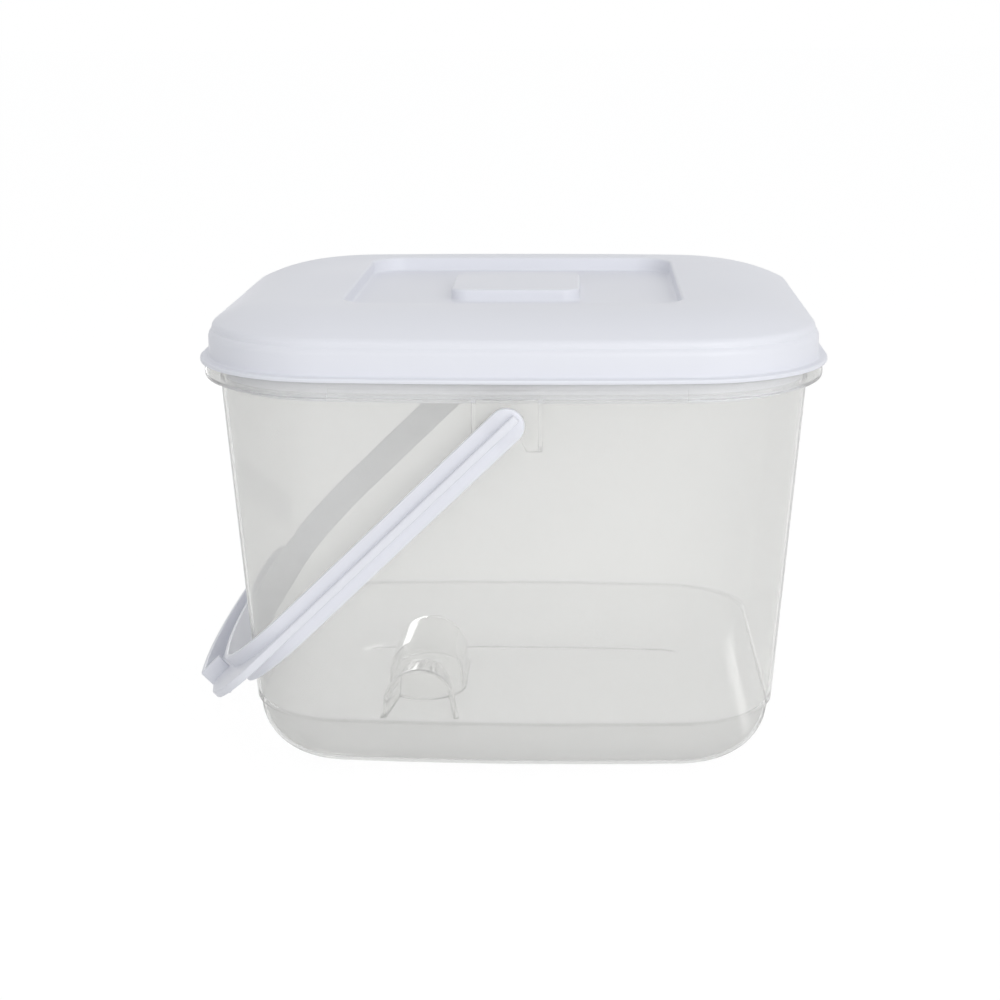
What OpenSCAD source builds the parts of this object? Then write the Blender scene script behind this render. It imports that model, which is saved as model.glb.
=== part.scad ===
// Clear pet food bin with a lift-off lid, a swing-over carrying handle and a loose scoop.
// Millimetres, Z up. The origin is the middle of the tub's underside, on the floor.
// The tub and the lid are wall sections carried round one bowed, round-cornered plan.

/* [Plan] */
// Distance between the corner centres across the width
corner_span_x = 165.3; // [156.6:2.9:174]
// Distance between the corner centres across the depth
corner_span_y = 136.5; // [126.5:1:150.5]
// Corner radius of the plan at the step line
corner_radius = 49.7; // [49.2:0.5:55.2]

/* [Tub] */
// Thickness of the tub's walls and floor
tub_wall = 1.8; // [1.4:0.1:2.2]
// Radius of the rounded base edge
base_radius = 28; // [22:0.5:29]
// How far the base is set in under the step line
step_inset = 1.9; // [1:0.1:3]
// Height of the step line above the floor
step_height = 30; // [30:0.5:36]
// Height at which the wall turns out into the rim
wall_top = 196.3; // [180:0.1:215]
// How far the wall leans out between the step line and the rim
wall_spread = 12.3; // [9:0.1:15]
// Height of the stepped rim
rim_height = 8.4; // [7:0.1:9]
// Reach of the stepped rim beyond the top of the wall
rim_reach = 7.4; // [6.6:0.1:7.8]
// Length of the stiffening bar on the front and back of the rim
rim_bar_length = 164; // [120:1:190]
// Height of the raised panel in the middle of the floor
panel_rise = 2; // [1:0.1:3]

/* [Handle brackets] */
// Height of the handle's pivot above the floor
pivot_height = 186.3; // [180:0.1:190]
// Width of a bracket
bracket_width = 33; // [30:0.5:40]
// Height of a bracket's lower edge above the floor
bracket_foot = 173.2; // [168:0.1:175]
// Distance from the middle of the tub to a bracket's outer face
bracket_face = 142.8; // [142.4:0.1:143.4]
// Radius of the round seat for the handle's stud
seat_radius = 4.8; // [4.2:0.1:5.4]

/* [Lid] */
// Thickness of the lid
lid_wall = 2; // [1.6:0.1:2.4]
// Reach of the lid's edge beyond the step line
lid_reach = 21.8; // [21:0.1:22]
// Height of the lid's crease line above the tub's rim
crease_rise = 16.6; // [16:0.1:17.2]
// Height of the lid's top above the tub's rim
lid_rise = 28.7; // [28.2:0.1:30]
// Radius of the lid's dome
dome_radius = 90; // [85:1:100]
// Depth of the stacking pocket in the lid's top
pocket_depth = 7.5; // [5:0.5:8.5]
// Half width and half depth of the stacking pocket
pocket_half = [83, 84]; // [70:0.5:88]
// Corner radius of the stacking pocket
pocket_corner = 18; // [10:1:26]
// Half width and half depth of the pad in the pocket
pad_half = [33, 32.5]; // [26:0.5:40]

/* [Carrying handle] */
// Angle below level at which the handle rests
rest_angle = 44; // [43.5:0.5:44.5]
// Distance from the middle of the tub to the inner face of an arm
arm_face = 145.2; // [145:0.1:147]
// Width of an arm's strip
arm_width = 16.8; // [15:0.2:18]
// Thickness of the arm's strip and of the grip's flanges
strip_thickness = 2.4; // [2:0.1:3]
// Thickness of the web between the flanges
web_thickness = 4; // [3:0.1:5]
// Distance from the pivot to the inner face of the grip at its middle
grip_reach = 199.5; // [198:0.5:201]
// Distance across the grip from its inner to its outer flange
grip_depth = 18; // [17:0.5:20]
// Width of the grip's outer flange
grip_width = 19; // [18:0.5:21]
// Radius of the grip's bow
grip_bow = 480; // [460:10:700]

/* [Scoop] */
// Radius of the scoop's bowl
bowl_radius = 20.5; // [18:0.5:22]
// Length of the straight part of the bowl
bowl_length = 38; // [30:1:46]
// Radius of the flared end of the scoop's handle
flare_radius = 19.5; // [16:0.5:20]
// Length from the bowl to the flared end
scoop_handle = 50; // [40:1:56]
// Height of the straight skirt below the rounded part
scoop_skirt = 8; // [4:0.5:10]
// Thickness of the scoop
scoop_wall = 1.4; // [1.2:0.1:1.8]

/* [Hidden] */
$fn = 96;
// segments for arcs of very large radius
wide_arc = 1440;
// overlap where two solids of one piece join
join = 0.3;
clear_plastic = [0.86, 0.87, 0.86, 0.45];
white_plastic = [0.93, 0.94, 0.97];

// plan: straight sides, bowed front and back, tangent round corners
// the line from the bow's centre to a corner centre follows a 58, 840, 842 right triangle
bow_tangent = [5.8, 84];
bow_chord = 84.2;
corner_x = corner_span_x / 2;
corner_y = corner_span_y / 2;
bow_scale = corner_x / bow_tangent.x;
bow_radius = bow_scale * bow_chord + corner_radius;
bow_centre = corner_y - bow_scale * bow_tangent.y;
half_width = corner_x + corner_radius;
half_depth = bow_centre + bow_radius;
bow_start = 84;
bow_sweep = 12;
section_reach = 120;
all_heights = 300;

// tub section, as offset from the step line and height
base_offset = -step_inset - base_radius;
panel_outer = -44;
panel_inner = -47.5;
panel_rest = -49;
panel_strip = 8;
panel_rest_x = 2 * (half_width + panel_rest);
panel_rest_y = 2 * (corner_y + corner_radius + panel_rest);
rim_offset = wall_spread + rim_reach;
rim_top = wall_top + rim_height;
rim_round = 2.6;
step_slope = 0.4;
bar_height = 5.6;
bar_depth = 0.8;
function wall_offset(z) = wall_spread * (z - step_height) / (wall_top - step_height);

// brackets
plate_thickness = 2.8;
cheek_thickness = 2;
bracket_cap = 5.6;
bracket_top = wall_top + bracket_cap;
slot_mouth = 9.2;
throat_share = 0.8;
slot_throat = seat_radius * throat_share;
throat_drop = sqrt(seat_radius * seat_radius - slot_throat * slot_throat);

// lid section, above the rim: flange, upright band, crease, round shoulder and dome
flange_thickness = 2.1;
lid_top = rim_top + lid_rise;
crease_height = rim_top + crease_rise;
band_foot = rim_top + flange_thickness - join;
band_offset = 17.4;
band_radius = 5;
band_centre = [band_offset - band_radius, crease_height - band_radius];
dome_edge = -26;
top_margin = 21.8;
shoulder_radius = 4;
shoulder_setback = 0.75;
// how much the shoulder's circle is widened to cross the dome's circle
shoulder_blend = 0.02;
shoulder_x = band_centre.x - shoulder_setback;
shoulder_reach = dome_radius - shoulder_radius;
// sine of the slope at which the dome runs into the shoulder
shoulder_sine = (shoulder_x - dome_edge) / shoulder_reach;
dome_centre = [dome_edge, lid_top - dome_radius];
shoulder_centre = [shoulder_x, dome_centre.y + shoulder_reach * sqrt(1 - shoulder_sine * shoulder_sine)];
plug_gap = 1.1;
plug_offset = wall_spread - tub_wall - plug_gap;
plug_thickness = 1.8;
plug_drop = 11.4;
pocket_floor = lid_top - pocket_depth;
pad_setback = 1.2;
pad_top = lid_top - pad_setback;
pad_corner = 9;

// handle, in its own plane: X away from the pivots, Y along the pivot axis
running_clearance = 0.05;
stud_radius = seat_radius - running_clearance;
head_radius = 6.4;
head_gap = 0.3;
head_thickness = 2.4;
boss_radius = 7.4;
plate_gap = 0.3;
grip_centre = grip_reach - grip_bow;
strip_corner = 50;
web_corner = 44;
rib_height = 5;
rib_start = -6.5;
arm_outside = arm_face + strip_thickness;
web_arm = arm_outside + rib_height;
flange_half = 104;
flange_outer = grip_bow + grip_depth;
flange_span = asin(flange_half / flange_outer);
end_wall_depth = 12.5;
end_wall_span = asin(strip_thickness / flange_outer);

// scoop, lying open side down on the floor panel
scoop_place = [-51, 4];
floor_top = tub_wall + panel_rise;
neck_radius = 12.5;
neck_start = 4;
scoop_lip = 1.6;
lip_height = 1.4;

// Carries a section, drawn as offset and height, round the plan.
module around_plan() {
    for (east = [0, 1], north = [0, 1])
        mirror([east, 0, 0])
            mirror([0, north, 0])
                translate([corner_x, corner_y, 0])
                    intersection() {
                        rotate_extrude(angle = 90)
                            translate([corner_radius, 0])
                                children();
                        translate([0, 0, -1])
                            linear_extrude(all_heights)
                                polygon([
                                    [0, 0],
                                    [section_reach, 0],
                                    [section_reach, 2 * bow_tangent.y],
                                    2 * bow_tangent
                                ]);
                    }
    for (north = [0, 1])
        mirror([0, north, 0])
            along_bow()
                children();
    for (east = [0, 1])
        mirror([east, 0, 0])
            translate([half_width, corner_y, 0])
                rotate([90, 0, 0])
                    linear_extrude(corner_span_y)
                        children();
}

// Carries a section along the bowed back face, from corner to corner.
module along_bow() {
    fan = 2 * bow_scale * bow_tangent;
    translate([0, bow_centre, 0])
        intersection() {
            rotate_extrude(start = bow_start, angle = bow_sweep, $fn = wide_arc)
                translate([bow_radius, 0])
                    children();
            translate([0, 0, -1])
                linear_extrude(all_heights)
                    polygon([[0, 0], fan, [-fan.x, fan.y]]);
        }
}

// A rectangle with round corners, given by its half sizes.
module round_rect(half, radius) {
    square([2 * half.x, 2 * (half.y - radius)], center = true);
    square([2 * (half.x - radius), 2 * half.y], center = true);
    for (x = [-1, 1], y = [-1, 1])
        translate([x * (half.x - radius), y * (half.y - radius)])
            circle(radius);
}

// A quarter ring whose corner is the origin, reaching along X and Y as the signs say.
module quarter_ring(outer, inner, sign_x, sign_y) {
    intersection() {
        difference() {
            circle(outer);
            circle(inner);
        }
        translate([sign_x * outer / 2, sign_y * outer / 2])
            square(outer, center = true);
    }
}

// Section of the tub's wall: rounded base, step, leaning wall and stepped rim.
module tub_section() {
    translate([base_offset, base_radius])
        quarter_ring(base_radius, base_radius - tub_wall, 1, -1);
    polygon([
        [-step_inset - tub_wall, base_radius],
        [-step_inset, base_radius],
        [-step_inset, step_height - step_slope],
        [0, step_height],
        [wall_offset(step_height + tub_wall), step_height + tub_wall],
        [wall_offset(step_height + tub_wall) - tub_wall, step_height + tub_wall],
        [-step_inset - tub_wall, step_height]
    ]);
    polygon([
        [-tub_wall, step_height + step_slope],
        [0, step_height],
        [wall_spread, wall_top],
        [wall_spread - tub_wall, wall_top]
    ]);
    translate([wall_spread - tub_wall, wall_top])
        square([rim_reach + tub_wall - rim_round, tub_wall]);
    translate([rim_offset - rim_round, wall_top + rim_round])
        quarter_ring(rim_round, rim_round - tub_wall, 1, -1);
    translate([rim_offset - tub_wall, wall_top + rim_round])
        square([tub_wall, rim_height - rim_round]);
}

// Section of the floor: flat margin, sloping panel edge and the outside of the panel.
module floor_section() {
    polygon([
        [base_offset, 0],
        [base_offset, tub_wall],
        [panel_outer, tub_wall],
        [panel_inner, floor_top],
        [panel_rest, floor_top],
        [panel_rest, panel_rise],
        [panel_inner, panel_rise],
        [panel_outer, 0]
    ]);
}

// The middle of the floor's raised panel.
module panel_middle() {
    for (north = [0, 1])
        mirror([0, north, 0])
            along_bow()
                translate([panel_rest - panel_strip, panel_rise])
                    square([panel_strip + join, tub_wall]);
    translate([0, 0, panel_rise + tub_wall / 2])
        cube([panel_rest_x + join, panel_rest_y + join, tub_wall], center = true);
}

// Bracket under the back rim: two cheeks and a plate with a snap-in slot, open at the bottom.
module bracket() {
    cheek_top = wall_top + tub_wall / 2;
    cheek = [
        [bracket_face - plate_thickness / 2, bracket_foot],
        [bracket_face - plate_thickness / 2, cheek_top],
        [half_depth + wall_offset(wall_top) - tub_wall / 2, cheek_top],
        [half_depth + wall_offset(bracket_foot) - tub_wall / 2, bracket_foot]
    ];
    for (x = [-bracket_width / 2, bracket_width / 2 - cheek_thickness])
        translate([x, 0, 0])
            rotate([90, 0, 90])
                linear_extrude(cheek_thickness)
                    polygon(cheek);
    translate([0, bracket_face, 0])
        rotate([90, 0, 0])
            linear_extrude(plate_thickness)
                difference() {
                    translate([-bracket_width / 2, bracket_foot])
                        square([bracket_width, bracket_top - bracket_foot]);
                    translate([0, pivot_height])
                        circle(seat_radius);
                    polygon([
                        [-slot_mouth, bracket_foot],
                        [slot_mouth, bracket_foot],
                        [slot_throat, pivot_height - throat_drop],
                        [-slot_throat, pivot_height - throat_drop]
                    ]);
                }
}

module tub() {
    color(clear_plastic) {
        around_plan() {
            tub_section();
            floor_section();
        }
        panel_middle();
        for (north = [0, 1])
            mirror([0, north, 0]) {
                intersection() {
                    along_bow()
                        translate([rim_offset - rim_round, wall_top])
                            square([rim_round + bar_depth, bar_height]);
                    translate([-rim_bar_length / 2, 0, 0])
                        cube([rim_bar_length, 2 * half_depth, all_heights]);
                }
                bracket();
            }
    }
}

// Filled section of the lid above its flange, thinned by the given amount.
module lid_fill(thin) {
    foot = band_foot - thin;
    shoulder = shoulder_radius + shoulder_blend - thin;
    translate([dome_edge - top_margin, foot])
        square([top_margin, lid_top - thin - foot]);
    intersection() {
        translate(dome_centre)
            circle(dome_radius - thin, $fn = 2 * $fn);
        translate([dome_edge, foot])
            square([shoulder_x + shoulder * shoulder_sine - dome_edge, lid_top]);
    }
    translate(shoulder_centre)
        circle(shoulder);
    translate([dome_edge, foot])
        square([shoulder_x + shoulder - dome_edge, shoulder_centre.y - foot]);
    translate(band_centre)
        circle(band_radius - thin);
    translate([dome_edge, foot])
        square([band_offset - thin - dome_edge, band_centre.y - foot]);
}

// Section of the lid from its edge to the flat of its top.
module lid_section() {
    translate([plug_offset - plug_thickness, rim_top])
        square([lid_reach - plug_offset + plug_thickness, flange_thickness]);
    translate([plug_offset - plug_thickness, rim_top - plug_drop])
        square([plug_thickness, plug_drop + flange_thickness]);
    difference() {
        lid_fill(0);
        lid_fill(lid_wall);
    }
}

module lid() {
    color(white_plastic) {
        difference() {
            around_plan()
                lid_section();
            translate([0, 0, pocket_floor])
                linear_extrude(2 * pocket_depth)
                    round_rect(pocket_half, pocket_corner);
        }
        translate([0, 0, pocket_floor - lid_wall])
            linear_extrude(pocket_depth + lid_wall)
                difference() {
                    round_rect(pocket_half + [lid_wall, lid_wall], pocket_corner + lid_wall);
                    round_rect(pocket_half, pocket_corner);
                }
        translate([0, 0, pocket_floor - lid_wall])
            linear_extrude(lid_wall)
                difference() {
                    round_rect(pocket_half + [join, join], pocket_corner + join);
                    round_rect(pad_half - [lid_wall, lid_wall], pad_corner - lid_wall);
                }
        translate([0, 0, pocket_floor - lid_wall])
            linear_extrude(pad_top - pocket_floor + lid_wall)
                difference() {
                    round_rect(pad_half, pad_corner);
                    round_rect(pad_half - [lid_wall, lid_wall], pad_corner - lid_wall);
                }
        translate([0, 0, pad_top - lid_wall])
            linear_extrude(lid_wall)
                round_rect(pad_half, pad_corner);
    }
}

// Filled outline of a bail: straight arms, round corners and a bowed grip.
module bail_fill(start, arm, corner, reach) {
    side = arm - corner;
    turn = asin(side / (reach - corner));
    corner_at = grip_centre + (reach - corner) * cos(turn);
    translate([start, -arm])
        square([corner_at - start, 2 * arm]);
    for (y = [-1, 1])
        translate([corner_at, y * side])
            circle(corner);
    intersection() {
        translate([grip_centre, 0])
            circle(reach, $fn = wide_arc);
        translate([corner_at - join, -reach * sin(turn)])
            square([reach, 2 * reach * sin(turn)]);
    }
}

// The strip that forms the arms' faces and the grip's inner flange.
module bail_strip() {
    linear_extrude(arm_width, center = true)
        difference() {
            bail_fill(0, arm_outside, strip_corner + strip_thickness, grip_bow + strip_thickness);
            bail_fill(-join, arm_face, strip_corner, grip_bow);
        }
    for (y = [-arm_face, arm_outside])
        translate([0, y, 0])
            rotate([90, 0, 0])
                cylinder(strip_thickness, arm_width / 2, arm_width / 2);
}

// The web: a rib along the arms that widens round the corners and across the grip.
module bail_web() {
    inset = strip_thickness / 2;
    linear_extrude(web_thickness, center = true)
        difference() {
            bail_fill(rib_start, web_arm, web_corner, grip_bow + grip_depth - inset);
            bail_fill(rib_start - join, arm_face + inset, strip_corner + inset, grip_bow + inset);
        }
}

// Wedge from the centre of the grip's bow, of the given half angle.
module grip_wedge(span) {
    far = 2 * flange_outer;
    side = far * tan(span);
    polygon([[0, 0], [far, -side], [far, side]]);
}

// The outer flange of the grip, with a wall turned in at each end.
module bail_flange() {
    linear_extrude(grip_width, center = true)
        translate([grip_centre, 0])
            intersection() {
                grip_wedge(flange_span);
                difference() {
                    circle(flange_outer, $fn = wide_arc);
                    circle(flange_outer - end_wall_depth, $fn = wide_arc);
                    intersection() {
                        circle(flange_outer - strip_thickness, $fn = wide_arc);
                        grip_wedge(flange_span - end_wall_span);
                    }
                }
            }
}

// Spacer boss, stud and retaining head on the inner face of an arm.
module pivot_stud() {
    plate_inside = bracket_face - plate_thickness;
    stud_end = plate_inside - head_gap - head_thickness;
    translate([0, bracket_face + plate_gap, 0])
        rotate([-90, 0, 0])
            cylinder(arm_face - bracket_face - plate_gap + join, boss_radius, boss_radius);
    translate([0, stud_end, 0])
        rotate([-90, 0, 0])
            cylinder(arm_face - stud_end, stud_radius, stud_radius);
    translate([0, stud_end, 0])
        rotate([-90, 0, 0])
            cylinder(head_thickness, head_radius, head_radius);
}

module bail_handle() {
    color(white_plastic)
        translate([0, 0, pivot_height])
            rotate([0, 180 - rest_angle, 0]) {
                bail_strip();
                bail_web();
                bail_flange();
                for (north = [0, 1])
                    mirror([0, north, 0])
                        pivot_stud();
            }
}

// Outline of the bowl, thinned by the given amount: a bar with two round ends.
module bowl_outline(thin) {
    for (end = [0, -bowl_length])
        translate([0, end])
            circle(bowl_radius - thin);
    translate([-bowl_radius + thin, -bowl_length])
        square([2 * (bowl_radius - thin), bowl_length]);
}

// Outline of the flared handle, thinned by the given amount and run on past its end.
module flare_outline(thin, past) {
    slope = (flare_radius - neck_radius) / (scoop_handle - neck_start);
    end = scoop_handle + past;
    polygon([
        [-neck_radius + thin, neck_start],
        [neck_radius - thin, neck_start],
        [flare_radius - thin + slope * past, end],
        [-flare_radius + thin - slope * past, end]
    ]);
}

// The scoop's wall seen from above.
module scoop_outline(grow) {
    difference() {
        bowl_outline(-grow);
        bowl_outline(scoop_wall);
    }
    difference() {
        flare_outline(-grow, 0);
        flare_outline(scoop_wall, 1);
        bowl_outline(scoop_wall / 2);
    }
}

module scoop() {
    color(clear_plastic)
        translate([scoop_place.x, scoop_place.y, floor_top])
            mirror([0, 1, 0]) {
                translate([0, 0, scoop_skirt])
                    rotate([90, 0, 0])
                        mirror([0, 0, 1])
                            rotate_extrude(angle = 180)
                                intersection() {
                                    scoop_outline(0);
                                    translate([0, -2 * bowl_length])
                                        square([2 * bowl_radius, 4 * bowl_length]);
                                }
                linear_extrude(scoop_skirt)
                    scoop_outline(0);
                linear_extrude(lip_height)
                    scoop_outline(scoop_lip);
            }
}

tub();
lid();
bail_handle();
scoop();
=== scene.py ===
"""Dresses the clear pet food bin: tub, lid, carrying handle and scoop, in a white studio."""

import logging
import math
from dataclasses import dataclass
from enum import Enum

import bmesh
import bpy
import numpy as np
from mathutils import Matrix, Vector


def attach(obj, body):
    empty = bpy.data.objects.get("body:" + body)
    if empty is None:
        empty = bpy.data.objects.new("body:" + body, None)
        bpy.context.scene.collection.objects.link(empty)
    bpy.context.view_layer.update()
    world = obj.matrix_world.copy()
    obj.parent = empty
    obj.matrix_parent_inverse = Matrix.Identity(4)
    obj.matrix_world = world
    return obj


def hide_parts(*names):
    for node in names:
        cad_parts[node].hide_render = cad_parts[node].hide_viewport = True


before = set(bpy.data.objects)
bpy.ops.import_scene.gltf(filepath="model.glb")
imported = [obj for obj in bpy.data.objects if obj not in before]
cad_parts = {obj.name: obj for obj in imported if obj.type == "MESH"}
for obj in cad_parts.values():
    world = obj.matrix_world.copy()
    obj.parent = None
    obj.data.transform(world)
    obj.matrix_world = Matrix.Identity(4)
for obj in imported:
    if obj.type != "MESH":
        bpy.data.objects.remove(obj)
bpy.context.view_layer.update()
LOG = logging.getLogger("pet_food_bin")
MM = 0.001
# Distances in metres within which points are joined: in one shape, and along a piece's seams.
PART_WELD = 1e-6
SEAM_WELD = 1e-5
# Turns between two faces: past the first two their edge is sharp, within the last they are one flat.
SHARP_ANGLE = math.radians(40)
PLATE_SHARP_ANGLE = math.radians(35)
FLAT_ANGLE = math.radians(0.2)
# The most of a flat that one rounded corner takes, and the length in holds past which a flat is held.
ROUND_SHARE = 0.48
HOLDS_IN_LONG_FLAT = 5
Point = tuple[float, float]
Triple = tuple[float, float, float]


class Face(Enum):
    """The two faces of the tub that carry a handle bracket."""

    FRONT = -1
    BACK = 1


class Cap(Enum):
    """How the ends of a lofted run of rings are treated."""

    OPEN = 0
    FILLED = 1


@dataclass(frozen=True)
class Corner:
    """A corner of a section in millimetres, with the radius that rounds it off."""

    x: float
    y: float
    radius: float = 0.0


def arc(centre: Point, radius: float, start: float, end: float, steps: int) -> list[Corner]:
    """Samples an arc as section corners.

    Args:
        centre: Centre of the arc.
        radius: Radius of the arc.
        start: First angle in degrees.
        end: Last angle in degrees.
        steps: Number of intervals.

    Returns:
        The corners along the arc, both ends included.
    """
    turns = np.radians(np.linspace(start, end, steps + 1))
    return [Corner(centre[0] + radius * math.cos(t), centre[1] + radius * math.sin(t)) for t in turns]


def corner_arc(before: Corner, corner: Corner, after: Corner, steps: int) -> list[np.ndarray]:
    """Samples the arc that rounds one corner off.

    Args:
        before: The corner before it.
        corner: The corner itself.
        after: The corner after it.
        steps: Intervals in the arc.

    Returns:
        The points from the flat before to the flat after.
    """
    here = np.array([corner.x, corner.y])
    back = np.array([before.x, before.y]) - here
    ahead = np.array([after.x, after.y]) - here
    length_back, length_ahead = np.linalg.norm(back), np.linalg.norm(ahead)
    back, ahead = back / length_back, ahead / length_ahead
    half = math.acos(float(np.clip(back @ ahead, -1, 1))) / 2
    cut = min(corner.radius / math.tan(half), ROUND_SHARE * length_back, ROUND_SHARE * length_ahead)
    radius = cut * math.tan(half)
    middle = (back + ahead) / np.linalg.norm(back + ahead)
    centre = here + middle * radius / math.sin(half)
    first, last = here + back * cut - centre, here + ahead * cut - centre
    turn = math.atan2(first[0] * last[1] - first[1] * last[0], float(first @ last))
    run = []
    for k in range(steps + 1):
        a = turn * k / steps
        run.append(centre + np.array([
            first[0] * math.cos(a) - first[1] * math.sin(a),
            first[0] * math.sin(a) + first[1] * math.cos(a),
        ]))
    return run


def rounded(corners: list[Corner], closed: bool, steps: int = 4, hold: float = 0.4) -> list[Point]:
    """Rounds the corners of a section off and holds its flats with points near their ends.

    Args:
        corners: Corners in order.
        closed: Whether the last corner joins the first.
        steps: Intervals in each rounded corner.
        hold: Distance from a flat's end to its holding point.

    Returns:
        The points of the finished outline.
    """
    count = len(corners)
    runs: list[list[np.ndarray]] = []
    for i, corner in enumerate(corners):
        ends = not closed and i in (0, count - 1)
        if corner.radius <= 0 or ends:
            runs.append([np.array([corner.x, corner.y])])
        else:
            runs.append(corner_arc(corners[i - 1], corner, corners[(i + 1) % count], steps))
    points: list[Point] = []
    for i, run in enumerate(runs):
        points += [tuple(p) for p in run]
        if i == count - 1 and not closed:
            break
        start, end = run[-1], runs[(i + 1) % count][0]
        length = np.linalg.norm(end - start)
        if length > HOLDS_IN_LONG_FLAT * hold:
            step = (end - start) / length * hold
            points += [tuple(start + step), tuple(end - step)]
    return points


@dataclass(frozen=True)
class PlanLoop:
    """A round-cornered plan: straight sides, front and back straight or bowed.

    Every loop is sampled in the same pattern, so two loops join point to point.
    """

    corner_x: float
    corner_y: float
    corner_radius: float
    tilt: float = 0.0
    side_steps: int = 8
    corner_steps: int = 24
    bow_steps: int = 24

    def points(self, offset: float = 0.0) -> list[Point]:
        """Samples the loop anticlockwise from the right side.

        Args:
            offset: Distance outward from the loop itself.

        Returns:
            The points, the first not repeated at the end.
        """
        half = self._upper_half(offset)
        return half + [(-x, -y) for x, y in half]

    def depth(self) -> float:
        """Returns the distance from the middle to the front or back."""
        base, reach = self._bow_circle(0.0)
        return base + reach

    def bow(self, half: float, face: Face) -> list[Point]:
        """Samples the bowed front or back, anticlockwise.

        Args:
            half: Half the length of the run.
            face: Which face.

        Returns:
            The points of the run.
        """
        base, reach = self._bow_circle(0.0)
        out = face.value
        span = math.asin(half / reach)
        turns = np.linspace(span, -span, self.bow_steps + 1)
        return [(out * reach * math.sin(t), out * (base + reach * math.cos(t))) for t in turns]

    def _bow_circle(self, offset: float) -> Point:
        """Works out the circle that the bowed back follows.

        Args:
            offset: Distance outward from the loop itself.

        Returns:
            How far back the circle's centre is, and its radius.
        """
        tilt = math.radians(self.tilt)
        radius = self.corner_radius + offset
        return self.corner_y - self.corner_x / math.tan(tilt), self.corner_x / math.sin(tilt) + radius

    def _upper_half(self, offset: float) -> list[Point]:
        """Samples the right side, the back and its two corners.

        Args:
            offset: Distance outward from the loop itself.

        Returns:
            The points, anticlockwise.
        """
        radius = self.corner_radius + offset
        tilt = math.radians(self.tilt)
        half: list[Point] = []
        for k in range(self.side_steps):
            y = -self.corner_y + 2 * self.corner_y * k / self.side_steps
            half.append((self.corner_x + radius, y))
        for k in range(self.corner_steps):
            a = (math.pi / 2 - tilt) * k / self.corner_steps
            half.append((self.corner_x + radius * math.cos(a), self.corner_y + radius * math.sin(a)))
        for k in range(self.bow_steps):
            t = 1 - 2 * k / self.bow_steps
            if tilt:
                base, reach = self._bow_circle(offset)
                half.append((reach * math.sin(tilt * t), base + reach * math.cos(tilt * t)))
            else:
                half.append((self.corner_x * t, self.corner_y + radius))
        for k in range(self.corner_steps):
            a = math.pi / 2 + tilt + (math.pi / 2 - tilt) * k / self.corner_steps
            half.append((-self.corner_x + radius * math.cos(a), self.corner_y + radius * math.sin(a)))
        return half


# Direction of the line from the centre of the bowed back to a corner's centre, across and along.
BOW_TANGENT = (5.8, 84.0)
BODY_PLAN = PlanLoop(
    corner_x=82.65, corner_y=68.25, corner_radius=49.7, tilt=math.degrees(math.atan2(*BOW_TANGENT))
)


def ring_of(mesh: bpy.types.Mesh, section_count: int, index: int) -> list[Vector]:
    """Reads one ring of a swept mesh.

    Args:
        mesh: A mesh whose points run in path order, then section order.
        section_count: Number of points in the section.
        index: Which point of the section.

    Returns:
        The ring's points in metres.
    """
    return [v.co.copy() for v in list(mesh.vertices)[index::section_count]]


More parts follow.
